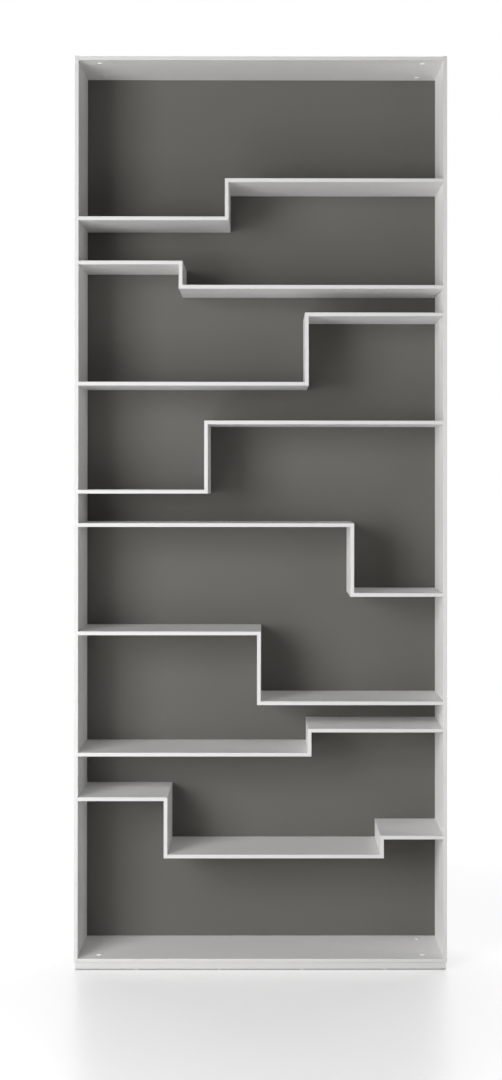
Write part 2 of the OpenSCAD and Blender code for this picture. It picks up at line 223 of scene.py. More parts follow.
def fine_grain() -> Tree:
    """Builds the group for fine sprayed or moulded grain.

    Returns:
        A group that turns a scale and a share of pits into a height and a level, both from 0 to 1.
    """
    inputs = {"Scale": "Float", "Pitting": "Float"}
    graph, given = group_tree("fine_grain", "Shader", inputs, {"Height": "Float", "Level": "Float"})
    place = graph.place()
    waves = graph.noise(place, given["Scale"], 2.0, 0.45)
    cell_scale = graph.math("MULTIPLY", given["Scale"], 1.9)
    cells = graph.add("ShaderNodeTexVoronoi", {"Vector": place, "Scale": cell_scale}, feature="SMOOTH_F1")
    pits = graph.ramp(cells["Distance"], 0.0, 0.55)
    mixed = graph.add("ShaderNodeMix", {"Factor": given["Pitting"], 2: waves, 3: pits}, data_type="FLOAT")
    return graph.close({"Height": mixed[0], "Level": waves})


def tone_drift() -> Tree:
    """Builds the group for slow changes of tone over a board.

    Returns:
        A group that turns a colour, an amount and a scale into a colour.
    """
    inputs = {"Colour": "Color", "Amount": "Float", "Scale": "Float"}
    graph, given = group_tree("tone_drift", "Shader", inputs, {"Colour": "Color"})
    place = graph.place()
    slow = graph.math("MULTIPLY", graph.noise(place, given["Scale"], 3.0), 0.65)
    fine = graph.math("MULTIPLY", graph.noise(place, 260.0, 1.0), 0.35)
    centred = graph.math("SUBTRACT", graph.math("ADD", slow, fine), 0.5)
    swing = graph.math("MULTIPLY", centred, given["Amount"])
    value = graph.math("ADD", graph.math("MULTIPLY", swing, 2.0), 1.0)
    toned = graph.add("ShaderNodeHueSaturation", {"Value": value, "Color": given["Colour"]})
    return graph.close({"Colour": toned[0]})


def edge_rub() -> Tree:
    """Builds the group for wear along eased edges.

    Returns:
        A group that turns an amount into a mask, from the attribute that marks an eased edge.
    """
    graph, given = group_tree("edge_rub", "Shader", {"Amount": "Float"}, {"Mask": "Float"})
    edge = graph.add("ShaderNodeAttribute", attribute_name=BoardEaser.EASED)["Fac"]
    rubbed = graph.ramp(graph.noise(graph.place(), 38.0, 4.0, 0.62), 0.46, 0.66)
    mask = graph.math("MULTIPLY", graph.math("MULTIPLY", edge, rubbed), given["Amount"])
    return graph.close({"Mask": mask})


def metal_streaks() -> Tree:
    """Builds the group for the streaks and spangle of a plated or rolled metal.

    Returns:
        A group that turns a scale into a streak level and a spangle level, both from 0 to 1.
    """
    outputs = {"Streak": "Float", "Spangle": "Float"}
    graph, given = group_tree("metal_streaks", "Shader", {"Scale": "Float"}, outputs)
    place = graph.place()
    long_way = graph.add("ShaderNodeMapping", {"Vector": place, "Scale": (0.06, 1.0, 1.0)})[0]
    spangle = graph.add("ShaderNodeTexVoronoi", {"Vector": place, "Scale": 340.0})["Distance"]
    return graph.close({"Streak": graph.noise(long_way, given["Scale"], 3.0), "Spangle": spangle})


def opaque(colour: Iterable[float]) -> tuple[float, float, float, float]:
    """Adds full alpha to a colour."""
    return (*colour, 1.0)


def grey(level: float) -> tuple[float, float, float, float]:
    """Gives an opaque grey."""
    return (level, level, level, 1.0)


@dataclass(frozen=True)
class Finish:
    """A finish with a name, a colour, a roughness and a shine. Each kind adds its own surface detail."""

    name: str
    colour: Colour
    roughness: float
    shine: float = 0.5

    def material(self) -> bpy.types.Material:
        """Gives the material of this finish, building it the first time.

        Returns:
            The material.
        """
        found = bpy.data.materials.get(self.name)
        if found is not None:
            return found
        made = bpy.data.materials.new(self.name)
        made.use_nodes = True
        made.diffuse_color = opaque(self.colour)
        shader = made.node_tree.nodes["Principled BSDF"].inputs
        shader["Base Color"].default_value = opaque(self.colour)
        shader["Roughness"].default_value = self.roughness
        shader["Specular IOR Level"].default_value = self.shine
        self.detail(Graph(made.node_tree), shader)
        return made

    def detail(self, graph: Graph, shader: Sockets) -> None:
        """Adds the surface detail to the inputs of the shader. The plain finish has none."""

    def dress(self, piece: Object) -> None:
        """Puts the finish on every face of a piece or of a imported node.

        Args:
            piece: The object to dress.
        """
        if not piece.material_slots:
            piece.data.materials.append(self.material())
        for slot in piece.material_slots:
            slot.material = self.material()

    def tone(self, graph: Graph, colour: object, amount: float, scale: float) -> Socket:
        """Lets a colour drift by an amount, in patches of a scale."""
        return graph.effect(tone_drift, Colour=colour, Amount=amount, Scale=scale)["Colour"]

    def gloss(self, graph: Graph, level: Socket, at_low: float, at_high: float) -> Socket:
        """Gives a roughness that departs from this finish's own by at_low and at_high, as a noise level does."""
        return graph.ramp(level, 0.3, 0.7, self.roughness + at_low, self.roughness + at_high)

    def bump(self, graph: Graph, shader: Sockets, height: Socket, depth_mm: float) -> None:
        """Feeds a height, of which 1 measures depth_mm, into the shader's normal."""
        raised = graph.add("ShaderNodeBump", {"Strength": 1.0, "Distance": depth_mm * MM, "Height": height})
        graph.link(raised[0], shader["Normal"])


@dataclass(frozen=True)
class Lacquer(Finish):
    """Sprayed matt lacquer on fibreboard: orange peel, slow drift of tone and slightly rubbed edges.

    The faces at a board's front are painted darker, by the share in the field below: painted shade on the
    front-facing faces.
    """

    # Share of the colour left on the front faces: painted shade.
    edge_tone: float = 1.0
    drift: float = 0.018
    peel_scale: float = 620.0
    peel_mm: float = 0.012
    rub: float = 0.15
    rub_colour: Colour = (0.9, 0.89, 0.86)
    rub_polish: float = 0.12

    def detail(self, graph: Graph, shader: Sockets) -> None:
        """Adds the peel, the drift, the rubbed edges and the painted shade on the front faces.

        Args:
            graph: The material's graph.
            shader: The inputs of its shader.
        """
        # Painted shade: the faces marked at the board's front take the colour darkened by that share.
        sawn = graph.add("ShaderNodeAttribute", attribute_name=BoardEaser.SAWN)["Fac"]
        front_in_shade = opaque(self.edge_tone * c for c in self.colour)
        toned = self.tone(graph, graph.blend(sawn, opaque(self.colour), front_in_shade), self.drift, 2.4)
        rubbed = graph.effect(edge_rub, Amount=self.rub)["Mask"]
        graph.link(graph.blend(rubbed, toned, opaque(self.rub_colour)), shader["Base Color"])
        peel = graph.effect(fine_grain, Scale=self.peel_scale, Pitting=0.25)
        polished = graph.math("MULTIPLY", rubbed, self.rub_polish)
        gloss = self.gloss(graph, peel["Level"], 0.05, -0.05)
        graph.link(graph.math("SUBTRACT", gloss, polished), shader["Roughness"])
        self.bump(graph, shader, peel["Height"], self.peel_mm)


@dataclass(frozen=True)
class Moulding(Finish):
    """Moulded plastic with a fine spark-eroded grain."""

    grain_scale: float = 2600.0
    grain_mm: float = 0.01

    def detail(self, graph: Graph, shader: Sockets) -> None:
        """Adds the moulded grain.

        Args:
            graph: The material's graph.
            shader: The inputs of its shader.
        """
        graph.link(self.tone(graph, opaque(self.colour), 0.03, 40.0), shader["Base Color"])
        grain = graph.effect(fine_grain, Scale=self.grain_scale, Pitting=0.7)
        graph.link(self.gloss(graph, grain["Level"], -0.05, 0.06), shader["Roughness"])
        self.bump(graph, shader, grain["Height"], self.grain_mm)


@dataclass(frozen=True)
class ZincPlate(Finish):
    """Zinc-plated steel: rolled streaks under a faint spangle."""

    streak_scale: float = 700.0
    streak_mm: float = 0.006

    def detail(self, graph: Graph, shader: Sockets) -> None:
        """Adds the streaks and the spangle.

        Args:
            graph: The material's graph.
            shader: The inputs of its shader.
        """
        shader["Metallic"].default_value = 1.0
        rolled = graph.effect(metal_streaks, Scale=self.streak_scale)
        graph.link(self.tone(graph, opaque(self.colour), 0.07, 60.0), shader["Base Color"])
        streaked = self.gloss(graph, rolled["Streak"], -0.07, 0.09)
        spangled = graph.math("MULTIPLY", rolled["Spangle"], 0.08)
        graph.link(graph.math("ADD", streaked, spangled), shader["Roughness"])
        self.bump(graph, shader, rolled["Streak"], self.streak_mm)


@dataclass(frozen=True)
class Plywood(Finish):
    """Bare birch plywood, with plies along its thickness and grain along its length."""

    ply_mm: float = 0.7
    dark_share: float = 0.55
    grain_mm: float = 0.03

    def detail(self, graph: Graph, shader: Sockets) -> None:
        """Adds the plies and the grain.

        Args:
            graph: The material's graph.
            shader: The inputs of its shader.
        """
        place = graph.place()
        long_way = graph.add("ShaderNodeMapping", {"Vector": place, "Scale": (1.0, 0.05, 1.0)})[0]
        grain = graph.noise(long_way, 900.0, 4.0)
        wave = {"Vector": place, "Scale": 1.0 / (self.ply_mm * MM * math.tau), "Distortion": 0.6}
        plies = graph.add("ShaderNodeTexWave", wave, bands_direction="DIAGONAL")["Fac"]
        halves = [graph.math("MULTIPLY", level, 0.5) for level in (plies, grain)]
        dark = opaque(self.dark_share * c for c in self.colour)
        graph.link(graph.blend(graph.math("ADD", *halves), dark, opaque(self.colour)), shader["Base Color"])
        self.bump(graph, shader, grain, self.grain_mm)


OFF_WHITE = (0.88, 0.876, 0.866)
MATT = 0.2
# Share of the white left on the boards' front faces: painted shade.
FRONT_SHADING = 0.745
SIDE_LACQUER, TOP_BASE_LACQUER, SHELF_LACQUER = (
    Lacquer(f"{boards}_lacquer", OFF_WHITE, 0.5, MATT, FRONT_SHADING) for boards in ("side", "top_and_base", "shelf")
)
# The plinth is lacquered a darker grey than the boards: painted shade, to match its shaded front under the base
# board.
PLINTH_IN_PAINTED_SHADE = Lacquer("plinth_lacquer", (0.625, 0.622, 0.615), 0.5, MATT)
PANEL_LACQUER = Lacquer(
    "back_panel_lacquer",
    (0.1126, 0.1088, 0.0998),
    0.55,
    0.12,
    drift=0.045,
    peel_scale=480.0,
    peel_mm=0.016,
    rub=0.5,
    rub_colour=(0.24, 0.23, 0.22),
)
CAP_PLASTIC = Moulding("cap_plastic", (0.86, 0.86, 0.845), 0.38)
PAD_PLASTIC = Moulding("foot_pad_plastic", (0.018, 0.018, 0.019), 0.55, grain_mm=0.02)
STUD_ZINC = ZincPlate("stud_zinc", (0.60, 0.61, 0.63), 0.3)
SLEEVE_ZINC = ZincPlate("sleeve_zinc", (0.58, 0.59, 0.61), 0.38)
SCREW_ZINC = ZincPlate("screw_zinc", (0.62, 0.62, 0.63), 0.28)
BRACKET_ZINC = ZincPlate("bracket_zinc", (0.56, 0.57, 0.59), 0.36, streak_scale=420.0)
TONGUE_PLYWOOD = Plywood("tongue_plywood", (0.55, 0.38, 0.2), 0.7)


@dataclass(frozen=True)
class PackedNodes:
    """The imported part's nodes, by name, and the bodies that they ride on."""

    nodes: dict[str, Object]
    bodies: dict[str, str]

    @classmethod
    def from_frame(cls, frame: dict) -> PackedNodes:
        groups = frame["record"]["behaviour"]["bodies"]
        return cls(frame["nodes"], {node: body for body, members in groups.items() for node in members})

    def named(self, stem: str) -> list[str]:
        """Lists the nodes whose names start with a stem, in order."""
        return sorted(name for name in self.nodes if name.startswith(stem))

    def islands(self, name: str) -> list[tuple[Vector, Vector]]:
        """Finds the separate solids of a node.

        Args:
            name: The node's name.

        Returns:
            The lowest and highest corners of each solid, in order of height and then of X.
        """
        work = bmesh.new()
        work.from_mesh(self.nodes[name].data)
        bmesh.ops.remove_doubles(work, verts=work.verts, dist=MERGE_DISTANCE)
        left = set(work.verts)
        found = []
        while left:
            stack = [left.pop()]
            corners = []
            while stack:
                vertex = stack.pop()
                corners.append(vertex.co.copy())
                near = {edge.other_vert(vertex) for edge in vertex.link_edges} & left
                left -= near
                stack.extend(near)
            low = Vector(min(c[i] for c in corners) for i in range(3))
            high = Vector(max(c[i] for c in corners) for i in range(3))
            found.append((low, high))
        work.free()
        return sorted(found, key=lambda box: tuple(round(box[0][i], 4) for i in (2, 0, 1)))

    def hand_over(self, piece: Object, nodes: Iterable[str], slot: str) -> None:
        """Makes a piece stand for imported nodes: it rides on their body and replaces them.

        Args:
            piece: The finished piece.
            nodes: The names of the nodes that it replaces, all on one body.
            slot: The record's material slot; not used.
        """
        names = list(nodes)
        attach(piece, self.bodies[names[0]])
        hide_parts(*names)
        LOG.info("%s stands for %s", piece.name, ", ".join(names))

    def settle(self, piece: Object, node: str, finish: Finish, slot: str, height: float = 0.0) -> None:
        """Moves a turned piece to its node's middle, dresses it and hands it over.

        Args:
            piece: The piece, turned about the origin.
            node: The node that it replaces.
            finish: Its finish.
            slot: The record's material slot.
            height: How far it is raised.
        """
        low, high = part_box(node)
        middle = (low + high) / 2
        piece.data.transform(Matrix.Translation((middle.x, middle.y, height)))
        finish.dress(piece)
        self.hand_over(piece, [node], slot)


def link_mesh(name: str, mesh: bpy.types.Mesh) -> Object:
    """Makes an object at the origin for a mesh and links it to the scene.

    Args:
        name: The object's name.
        mesh: Its mesh.

    Returns:
        The new object.
    """
    piece = bpy.data.objects.new(name, mesh)
    bpy.context.scene.collection.objects.link(piece)
    return piece


def formed(name: str, work: bmesh.types.BMesh) -> Object:
    """Makes an object at the origin from a finished BMesh, which is freed.

    Args:
        name: The object's name.
        work: Its shape.

    Returns:
        The new object.
    """
    mesh = bpy.data.meshes.new(name)
    work.to_mesh(mesh)
    work.free()
    return link_mesh(name, mesh)


def lathe(name: str, profile: Profile, steps: int, smooth_from: float = 35.0) -> Object:
    """Turns a profile about Z into a closed mesh with outward normals.

    Args:
        name: The piece's name.
        profile: Points (radius, height) from the axis round to the axis.
        steps: Number of segments round the axis.
        smooth_from: Edges sharper than this many degrees stay crisp.

    Returns:
        The new object.
    """
    work = bmesh.new()
    rings = []
    for radius, height in profile:
        if radius < TOUCH:
            rings.append([work.verts.new((0.0, 0.0, height))] * steps)
            continue
        turn = [math.tau * i / steps for i in range(steps)]
        rings.append([work.verts.new((radius * math.cos(a), radius * math.sin(a), height)) for a in turn])
    for lower, upper in zip(rings, rings[1:]):
        for i in range(steps):
            j = (i + 1) % steps
            ring = list(dict.fromkeys((lower[i], lower[j], upper[j], upper[i])))
            if len(ring) > 2:
                work.faces.new(ring)
    bmesh.ops.recalc_face_normals(work, faces=work.faces)
    piece = formed(name, work)
    piece.data.shade_smooth()
    piece.data.set_sharp_from_angle(angle=math.radians(smooth_from))
    return piece


def baked(source: Object, name: str) -> Object:
    """Turns an object with live modifiers into a plain mesh object and removes the source.

    Args:
        source: The object whose modifiers are applied.
        name: The name of the result.

    Returns:
        A new object at the origin, without modifiers.
    """
    depsgraph = bpy.context.evaluated_depsgraph_get()
    mesh = bpy.data.meshes.new_from_object(source.evaluated_get(depsgraph), depsgraph=depsgraph)
    bpy.data.objects.remove(source)
    mesh.name = name
    return link_mesh(name, mesh)


def grown(tree: Tree, source: Object, name: str, sizes: dict[str, object]) -> Object:
    """Runs a Geometry Nodes tree on an object and keeps the result as a plain mesh.

    Args:
        tree: The tree.
        source: The object that carries it, which is removed.
        name: The name of the result.
        sizes: Values of the tree's inputs, by their names.

    Returns:
        The finished object.
    """
    modifier = source.modifiers.new("grown", "NODES")
    modifier.node_group = tree
    for item in tree.interface.items_tree:
        if item.in_out == "INPUT" and item.name in sizes:
            modifier[item.identifier] = sizes[item.name]
    return baked(source, name)


def dressed_tree(graph: Graph, finish: Socket, *parts: Socket) -> Tree:
    """Ends a Geometry Nodes tree: its parts joined, made real and dressed.

    Args:
        graph: The tree's graph.
        finish: The material of every part.
        parts: The geometry to put out.

    Returns:
        The finished tree.
    """
    joined = graph.tree.nodes.new("GeometryNodeJoinGeometry")
    for part in parts:
        graph.link(part, joined.inputs[0])
    real = graph.add("GeometryNodeRealizeInstances", {"Geometry": joined.outputs[0]})[0]
    dressed = graph.add("GeometryNodeSetMaterial", {"Geometry": real, "Material": finish})[0]
    return graph.close({"Geometry": dressed})


def repeat_at_points() -> Tree:
    """Builds the tree that repeats one part at every point, each turned at random about its own axis.

    Returns:
        A tree with the inputs Part, Tilt, Spread, Seed and Finish.
    """
    inputs = {"Part": "Object", "Tilt": "Vector", "Spread": "Float", "Seed": "Int"}
    graph, given = geometry_tree("repeat_at_points", inputs)
    part = graph.add("GeometryNodeObjectInfo", {"Object": given["Part"]}, transform_space="ORIGINAL")
    low = graph.math("MULTIPLY", given["Spread"], -1.0)
    limits = {2: low, 3: given["Spread"], "Seed": given["Seed"]}
    turn = graph.add("FunctionNodeRandomValue", limits, data_type="FLOAT")[1]
    spin = graph.add("ShaderNodeCombineXYZ", {"Z": turn})[0]
    tilt, own = (graph.add("FunctionNodeEulerToRotation", {"Euler": e})[0] for e in (given["Tilt"], spin))
    both = graph.add("FunctionNodeRotateRotation", {"Rotation": tilt, "Rotate By": own}, rotation_space="LOCAL")
    set_out = {"Points": given["Geometry"], "Instance": part["Geometry"], "Rotation": both[0]}
    return dressed_tree(graph, given["Finish"], graph.add("GeometryNodeInstanceOnPoints", set_out)[0])


def wound_thread() -> Tree:
    """Builds the tree that winds a screw thread up a core.

    Returns:
        A tree with the inputs Core Radius, Pitch, Length, Start, Ridge and Finish.
    """
    inputs = {"Core Radius": "Float", "Pitch": "Float", "Length": "Float", "Start": "Vector", "Ridge": "Float"}
    graph, given = geometry_tree("wound_thread", inputs)
    helix = {
        "Resolution": 36,
        "Rotations": graph.math("DIVIDE", given["Length"], given["Pitch"]),
        "Start Radius": given["Core Radius"],
        "End Radius": given["Core Radius"],
        "Height": given["Length"],
    }
    spiral = graph.add("GeometryNodeCurveSpiral", helix)[0]
    upright = graph.add("GeometryNodeSetCurveNormal", {"Curve": spiral}, mode="Z_UP")[0]
    ridge = graph.add("GeometryNodeCurvePrimitiveCircle", {"Resolution": 4, "Radius": given["Ridge"]})[0]
    swept = {"Curve": upright, "Profile Curve": ridge, "Fill Caps": True}
    wound = graph.add("GeometryNodeCurveToMesh", swept)[0]
    placed = graph.add("GeometryNodeTransform", {"Geometry": wound, "Translation": given["Start"]})[0]
    return dressed_tree(graph, given["Finish"], placed, given["Geometry"])


def ribs_round_a_rim() -> Tree:
    """Builds the tree that sets grip ribs round the rim of a turned part.

    Returns:
        A tree with the inputs Count, Rim Radius, Rib Radius, Rib Length, Height and Finish.
    """
    sizes = dict.fromkeys(("Rim Radius", "Rib Radius", "Rib Length"), "Float")
    graph, given = geometry_tree("ribs_round_a_rim", {"Count": "Int", **sizes, "Height": "Vector"})
    rim = graph.add("GeometryNodeMeshCircle", {"Vertices": given["Count"], "Radius": given["Rim Radius"]})[0]
    bar = {"Vertices": 8, "Radius": given["Rib Radius"], "Depth": given["Rib Length"]}
    rib = graph.add("GeometryNodeMeshCylinder", bar)[0]
    ribs = graph.add("GeometryNodeInstanceOnPoints", {"Points": rim, "Instance": rib})[0]
    raised = graph.add("GeometryNodeTransform", {"Geometry": ribs, "Translation": given["Height"]})[0]
    return dressed_tree(graph, given["Finish"], raised, given["Geometry"])


def repeated(
    part: Object, places: Sequence[Vector], name: str, finish: Finish, seed: int, tilt: Triple = (0.0, 0.0, 0.0)
) -> Object:
    """Repeats a part at a set of places, as one dressed piece, and removes the part.

    Args:
        part: What is repeated.
        places: Where its origin goes.
        name: The name of the result.
        finish: The finish of the result.
        seed: Seed of the random turns about the part's own axis.
        tilt: Rotation of every copy.

    Returns:
        The finished piece.
    """
    mesh = bpy.data.meshes.new(name)
    mesh.from_pydata([tuple(p) for p in places], [], [])
    tree = bpy.data.node_groups.get("repeat_at_points") or repeat_at_points()
    sizes = {"Part": part, "Tilt": tilt, "Spread": math.pi, "Seed": seed, "Finish": finish.material()}
    piece = grown(tree, link_mesh(f"{name}_places", mesh), name, sizes)
    bpy.data.objects.remove(part)
    finish.dress(piece)
    return piece


def runs_along(a: Vector, b: Vector, axis: Axis) -> bool:
    """Says whether the edge from a to b lies along an axis."""
    step = b - a
    return abs(step[axis]) > STRAIGHT * step.length


def both_at(a: Vector, b: Vector, axis: Axis, value: float) -> bool:
    """Says whether both ends of an edge have the same value on an axis."""
    return abs(a[axis] - value) < TOUCH and abs(b[axis] - value) < TOUCH


@dataclass(frozen=True)
class BoardEaser:
    """Copies a packed board, rounds the edges that a hand meets and breaks the edges of its joints.

    The attribute EASED marks the rounded faces, and the second mark the faces at the board's front, which a lacquer
    darkens as painted shade. An Ease says of an edge, by its two ends, how far it is eased, as a share of the
    radius.
    """

    packed: PackedNodes
    radius: float = 0.0006
    segments: int = 3
    square_from: float = math.radians(60.0)
    flat_within: float = math.radians(0.5)

    EASED = "eased"
    # Marks the faces at a board's front, which a lacquer paints darker: painted shade.
    SAWN = "sawn"
    FULL = 1.0
    HAIRLINE = 0.25
    SHARP = 0.0

    def replace(self, node: str, finish: Finish, slot: str, ease: Ease, made: str = "lacquered") -> None:
        """Makes the eased copy of a board, with the eased faces smooth and marked, and hands it over.

        Args:
            node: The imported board.
            finish: The finish of the whole piece.
            slot: The record's material slot.
            ease: Says how far each edge is eased.
            made: How the piece is made, which starts its name.
        """
        name = f"{made}_{node}"
        work = bmesh.new()
        work.from_mesh(self.packed.nodes[node].data)
        bmesh.ops.remove_doubles(work, verts=work.verts, dist=MERGE_DISTANCE)
        bmesh.ops.dissolve_limit(work, angle_limit=self.flat_within, verts=work.verts, edges=work.edges)
        weight = work.edges.layers.float.new("bevel_weight_edge")
        for edge in work.edges:
            if edge.is_manifold and edge.calc_face_angle() > self.square_from:
                edge[weight] = ease(edge.verts[0].co, edge.verts[1].co)
        source = formed(f"{name}_sharp", work)
        for _ in range(2):
            source.data.materials.append(finish.material())
        bevel = source.modifiers.new("ease", "BEVEL")
        bevel.limit_method = "WEIGHT"
        bevel.width = self.radius
        bevel.segments = self.segments
        bevel.material = 1
        piece = baked(source, name)
        self.mark(piece.data)
        self.packed.hand_over(piece, [node], slot)

    def mark(self, mesh: bpy.types.Mesh) -> None:
        """Makes the eased faces, which have the second slot, smooth, drops that slot and writes both marks.

        Args:
            mesh: The eased board's mesh.
        """
        eased = [face.material_index == 1 for face in mesh.polygons]
        # The faces at the front are marked for painted shade.
        front = min(vertex.co.y for vertex in mesh.vertices) + self.radius
        sawn = [face.center.y < front for face in mesh.polygons]
        for name, marked in ((self.EASED, eased), (self.SAWN, sawn)):
            mesh.attributes.new(name, "FLOAT", "FACE").data.foreach_set("value", [float(m) for m in marked])
        mesh.polygons.foreach_set("use_smooth", eased)
        mesh.polygons.foreach_set("material_index", [0] * len(eased))
        mesh.materials.pop(index=1)
        mesh.update()

    def face_ease(self, across: Axis, level: float, along: Axis) -> Ease:
        """Makes the rule that eases one face of a board.

        Args:
            across: The axis that the face is square to.
            level: The face's place on that axis.
            along: The way the board runs.

        Returns:
            A rule that eases the face's long edges fully, and its others by a hairline.
        """

        def ease(a: Vector, b: Vector) -> float:
            """Gives the share for one edge."""
            share = self.FULL if runs_along(a, b, along) else self.HAIRLINE
            return share if both_at(a, b, across, level) else self.SHARP

        return ease


@dataclass
class Carcass:
    """The two sides, the top, the base, the back panel and the plinth."""

    easer: BoardEaser

    def build(self) -> None:
        """Builds and dresses every board of the carcass."""
        for node in ("side_left", "side_right"):
            self.side(node)
        for node in ("top_board", "base_board"):
            ease = self.easer.face_ease(Axis.Y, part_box(node)[0].y, Axis.X)
            self.easer.replace(node, TOP_BASE_LACQUER, "lacquer_top_base", ease)
        self.back_panel()
        for node in self.easer.packed.named("plinth_"):
            if node != "plinth_screws":
                self.plinth_rail(node)

    def side(self, node: str) -> None:
        """Builds one side, eased along its front, its upper end and its rear outer edge.

        Args:
            node: The side's node.
        """
        low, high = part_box(node)
        outer = low.x if abs(low.x) > abs(high.x) else high.x

        def ease(a: Vector, b: Vector) -> float:
            """Eases the front edges and the outer edges."""
            met = both_at(a, b, Axis.Y, low.y) or both_at(a, b, Axis.X, outer)
            return BoardEaser.FULL if met else BoardEaser.SHARP

        self.easer.replace(node, SIDE_LACQUER, "lacquer_sides", ease)

    def back_panel(self) -> None:
        """Builds the dark back panel, eased round its rear outline."""
        low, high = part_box("back_panel")
        outline = [(axis, corner[axis]) for axis in (Axis.X, Axis.Z) for corner in (low, high)]

        def ease(a: Vector, b: Vector) -> float:
            """Eases the rear outline and leaves the screw holes crisp."""
            met = both_at(a, b, Axis.Y, high.y) and any(both_at(a, b, *line) for line in outline)
            return BoardEaser.FULL if met else BoardEaser.SHARP

        self.easer.replace("back_panel", PANEL_LACQUER, "back_panel", ease)

    def plinth_rail(self, node: str) -> None:
        """Builds one plinth rail, eased along the upper and lower edges of its outer face.

        Args:
            node: The rail's node.
        """
        low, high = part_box(node)
        along, across = (Axis.X, Axis.Y) if high.x - low.x > high.y - low.y else (Axis.Y, Axis.X)
        outer = max(low[across], high[across], key=abs)
        self.easer.replace(node, PLINTH_IN_PAINTED_SHADE, "lacquer_plinth", self.easer.face_ease(across, outer, along))


@dataclass
class SteppedShelves:
    """The shelf boards, which lie, stand and meet in mitres, and the loose tongues in the mitres."""

    easer: BoardEaser

    def build(self) -> None:
        """Builds every shelf board, eased along its front, and dresses the boards and the tongues."""
        packed = self.easer.packed
        for node in packed.named("shelf_"):
            along = Axis.Z if node.endswith("riser") else Axis.X
            ease = self.easer.face_ease(Axis.Y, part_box(node)[0].y, along)
            self.easer.replace(node, SHELF_LACQUER, "lacquer_shelves", ease)
        TONGUE_PLYWOOD.dress(packed.nodes["mitre_tongues"])
        LOG.info("mitre_tongues keeps its packed shape")


@dataclass
class Caps:
    """The round caps: four that lift out of the base board, and four fixed ones under the top board."""

    packed: PackedNodes
    steps: int = 64
    dome: float = 0.00018
    rim: float = 0.0003
    spigot: float = 0.0054
    wall: float = 0.0011
    dome_rings: int = 6
    turn_seed: int = 5

    def model(self, name: str, node: str) -> Object:
        """Turns one cap with its seat at the origin, head upwards.

        Args:
            name: The piece's name.
            node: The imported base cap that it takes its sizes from.

        Returns:
            The cap.
        """
        low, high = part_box(node)
        head = (high.x - low.x) / 2
        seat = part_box("base_board")[1].z
        depth = seat - low.z
        points = [(0.0, -self.rim), (self.spigot - self.wall, -self.rim), (self.spigot - self.wall, -depth)]
        points += [(self.spigot - self.rim / 2, -depth), (self.spigot, -depth + self.rim)]
        points += [(self.spigot, 0.0), (head - self.rim / 2, 0.0)]
        edge = high.z - seat - self.dome
        for turn in QUARTER_TURN:
            points.append((head - self.rim * (1 - math.cos(turn)), edge - self.rim * (1 - math.sin(turn))))
        for i in range(1, self.dome_rings):
            share = i / self.dome_rings
            points.append(((head - self.rim) * (1 - share), edge + self.dome * (1 - (1 - share) ** 2)))
        points.append((0.0, high.z - seat))
        return lathe(name, points, self.steps)

    def build(self) -> None:
        """Builds and dresses the caps."""
        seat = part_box("base_board")[1].z
        for corner in Corner:
            node = f"base_cap_{corner.value}"
            self.packed.settle(self.model(f"moulded_{node}", node), node, CAP_PLASTIC, "caps", seat)
        part = self.model("cap_to_repeat", "base_cap_front_left")
        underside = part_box("top_board")[0].z
        solids = self.packed.islands("top_caps")
        places = [Vector(((a.x + b.x) / 2, (a.y + b.y) / 2, underside)) for a, b in solids]
        turned = repeated(part, places, "moulded_top_caps", CAP_PLASTIC, self.turn_seed, (math.pi, 0.0, 0.0))
        self.packed.hand_over(turned, ["top_caps"], "caps")


